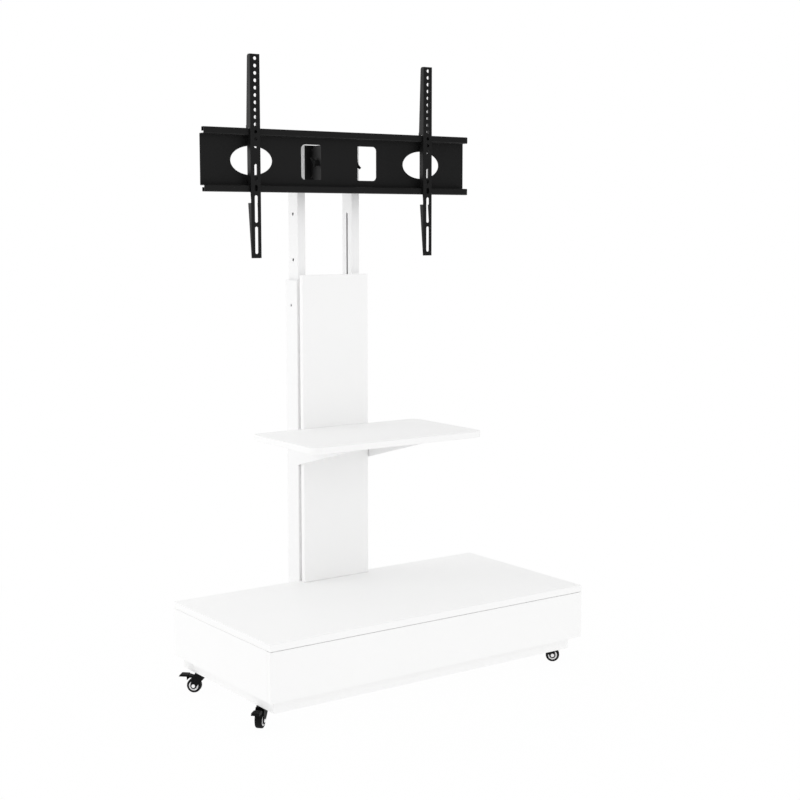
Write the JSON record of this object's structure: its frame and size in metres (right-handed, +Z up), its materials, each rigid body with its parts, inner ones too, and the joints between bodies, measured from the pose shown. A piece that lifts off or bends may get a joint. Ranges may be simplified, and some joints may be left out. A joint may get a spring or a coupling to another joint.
{
  "type": "mobile tv stand",
  "caption": "Rolling television stand: slotted screen arms on a tilting head, a height-adjustable column, a shelf, and a low drawer base on locking castors.",
  "frame": {"origin": "on the floor under the middle of the stand, at the centre of its bounding box", "axes": "+X to the right of a viewer who faces the screen, +Y to the back, +Z up"},
  "size_m": [1.0278, 0.5602, 1.664],
  "materials": {
    "white_board": "satin white laminate",
    "white_steel": "white powder coat",
    "black_steel": "black powder coat",
    "black_plastic": "fine matte",
    "black_tyre": "matte",
    "pale_plastic": "satin",
    "zinc_steel": "zinc plated"
  },
  "bodies": {
    "base": {"lid_top": "white_board", "side_left": "white_board", "side_right": "white_board", "back_panel": "white_board", "bottom_panel": "white_board", "plinth_frame": "white_board", "runner_fixed_left": "zinc_steel", "runner_fixed_right": "zinc_steel", "push_latch": "zinc_steel", "outer_tube_left": "white_steel", "outer_tube_right": "white_steel", "guide_collar_left": "pale_plastic", "guide_collar_right": "pale_plastic", "lock_screw_left": "zinc_steel", "lock_screw_right": "zinc_steel", "guide_screw_left": "zinc_steel", "guide_screw_right": "zinc_steel", "column_panel": "white_board", "shelf": "white_board", "shelf_bracket_left": "white_steel", "shelf_bracket_right": "white_steel", "castor_front_left_plate": "black_steel", "castor_front_right_plate": "black_steel", "castor_back_left_plate": "black_steel", "castor_back_right_plate": "black_steel"},
    "drawer": {"drawer_front": "white_board", "drawer_side_left": "white_board", "drawer_side_right": "white_board", "drawer_back": "white_board", "drawer_bottom": "white_board", "runner_moving_left": "zinc_steel", "runner_moving_right": "zinc_steel"},
    "mast": {"inner_tube_left": "white_steel", "inner_tube_right": "white_steel", "inner_cap_left": "black_plastic", "inner_cap_right": "black_plastic", "tilt_yoke": "black_steel"},
    "head": {"wall_plate": "black_steel", "tilt_bolt": "zinc_steel"},
    "knob_left": {"wing_knob_left": "black_plastic"},
    "knob_right": {"wing_knob_right": "black_plastic"},
    "arm_left_body": {"arm_left": "black_steel"},
    "arm_right_body": {"arm_right": "black_steel"},
    "castor_front_left": {"castor_front_left_fork": "black_plastic"},
    "wheel_front_left": {"castor_front_left_core": "pale_plastic", "castor_front_left_tyre": "black_tyre"},
    "pedal_front_left": {"castor_front_left_pedal": "black_plastic"},
    "castor_front_right": {"castor_front_right_fork": "black_plastic"},
    "wheel_front_right": {"castor_front_right_core": "pale_plastic", "castor_front_right_tyre": "black_tyre"},
    "pedal_front_right": {"castor_front_right_pedal": "black_plastic"},
    "castor_back_left": {"castor_back_left_fork": "black_plastic"},
    "wheel_back_left": {"castor_back_left_core": "pale_plastic", "castor_back_left_tyre": "black_tyre"},
    "pedal_back_left": {"castor_back_left_pedal": "black_plastic"},
    "castor_back_right": {"castor_back_right_fork": "black_plastic"},
    "wheel_back_right": {"castor_back_right_core": "pale_plastic", "castor_back_right_tyre": "black_tyre"},
    "pedal_back_right": {"castor_back_right_pedal": "black_plastic"}
  },
  "joints": [
    {"name": "drawer_slide", "type": "slide", "parent": "base", "child": "drawer", "axis": [0, -1, 0], "range_m": [0, 0.35]},
    {"name": "mast_height", "type": "slide", "parent": "base", "child": "mast", "axis": [0, 0, 1], "range_m": [-0.25, 0]},
    {"name": "head_tilt", "type": "hinge", "parent": "mast", "child": "head", "pos_m": [0, 0.18835, 1.393], "axis": [1, 0, 0], "range_deg": [-5, 10]},
    {"name": "knob_left_turn", "type": "hinge", "parent": "head", "child": "knob_left", "pos_m": [-0.07, 0.18835, 1.393], "axis": [1, 0, 0], "continuous": true},
    {"name": "knob_right_turn", "type": "hinge", "parent": "head", "child": "knob_right", "pos_m": [0.07, 0.18835, 1.393], "axis": [1, 0, 0], "continuous": true},
    {"name": "arm_left_slide", "type": "slide", "parent": "head", "child": "arm_left_body", "axis": [1, 0, 0], "range_m": [-0.12, 0.18]},
    {"name": "arm_right_slide", "type": "slide", "parent": "head", "child": "arm_right_body", "axis": [1, 0, 0], "range_m": [-0.18, 0.12]},
    {"name": "swivel_front_left", "type": "hinge", "parent": "base", "child": "castor_front_left", "pos_m": [-0.465, -0.17815, 0.0507], "axis": [0, 0, 1], "continuous": true},
    {"name": "spin_front_left", "type": "hinge", "parent": "castor_front_left", "child": "wheel_front_left", "pos_m": [-0.47678, -0.18853, 0.019], "axis": [0.6613, -0.7501, 0], "continuous": true},
    {"name": "brake_front_left", "type": "hinge", "parent": "castor_front_left", "child": "pedal_front_left", "pos_m": [-0.47288, -0.18509, 0.0427], "axis": [0.6613, -0.7501, 0], "range_deg": [0, 8]},
    {"name": "swivel_front_right", "type": "hinge", "parent": "base", "child": "castor_front_right", "pos_m": [0.465, -0.17815, 0.0507], "axis": [0, 0, 1], "continuous": true},
    {"name": "spin_front_right", "type": "hinge", "parent": "castor_front_right", "child": "wheel_front_right", "pos_m": [0.47678, -0.18853, 0.019], "axis": [0.6613, 0.7501, 0], "continuous": true},
    {"name": "brake_front_right", "type": "hinge", "parent": "castor_front_right", "child": "pedal_front_right", "pos_m": [0.47288, -0.18509, 0.0427], "axis": [0.6613, 0.7501, 0], "range_deg": [0, 8]},
    {"name": "swivel_back_left", "type": "hinge", "parent": "base", "child": "castor_back_left", "pos_m": [-0.465, 0.14385, 0.0507], "axis": [0, 0, 1], "continuous": true},
    {"name": "spin_back_left", "type": "hinge", "parent": "castor_back_left", "child": "wheel_back_left", "pos_m": [-0.47633, 0.15472, 0.019], "axis": [-0.6921, -0.7218, 0], "continuous": true},
    {"name": "brake_back_left", "type": "hinge", "parent": "castor_back_left", "child": "pedal_back_left", "pos_m": [-0.47258, 0.15112, 0.0427], "axis": [-0.6921, -0.7218, 0], "range_deg": [0, 8]},
    {"name": "swivel_back_right", "type": "hinge", "parent": "base", "child": "castor_back_right", "pos_m": [0.465, 0.14385, 0.0507], "axis": [0, 0, 1], "continuous": true},
    {"name": "spin_back_right", "type": "hinge", "parent": "castor_back_right", "child": "wheel_back_right", "pos_m": [0.47633, 0.15472, 0.019], "axis": [-0.6921, 0.7218, 0], "continuous": true},
    {"name": "brake_back_right", "type": "hinge", "parent": "castor_back_right", "child": "pedal_back_right", "pos_m": [0.47258, 0.15112, 0.0427], "axis": [-0.6921, 0.7218, 0], "range_deg": [0, 8]}
  ]
}
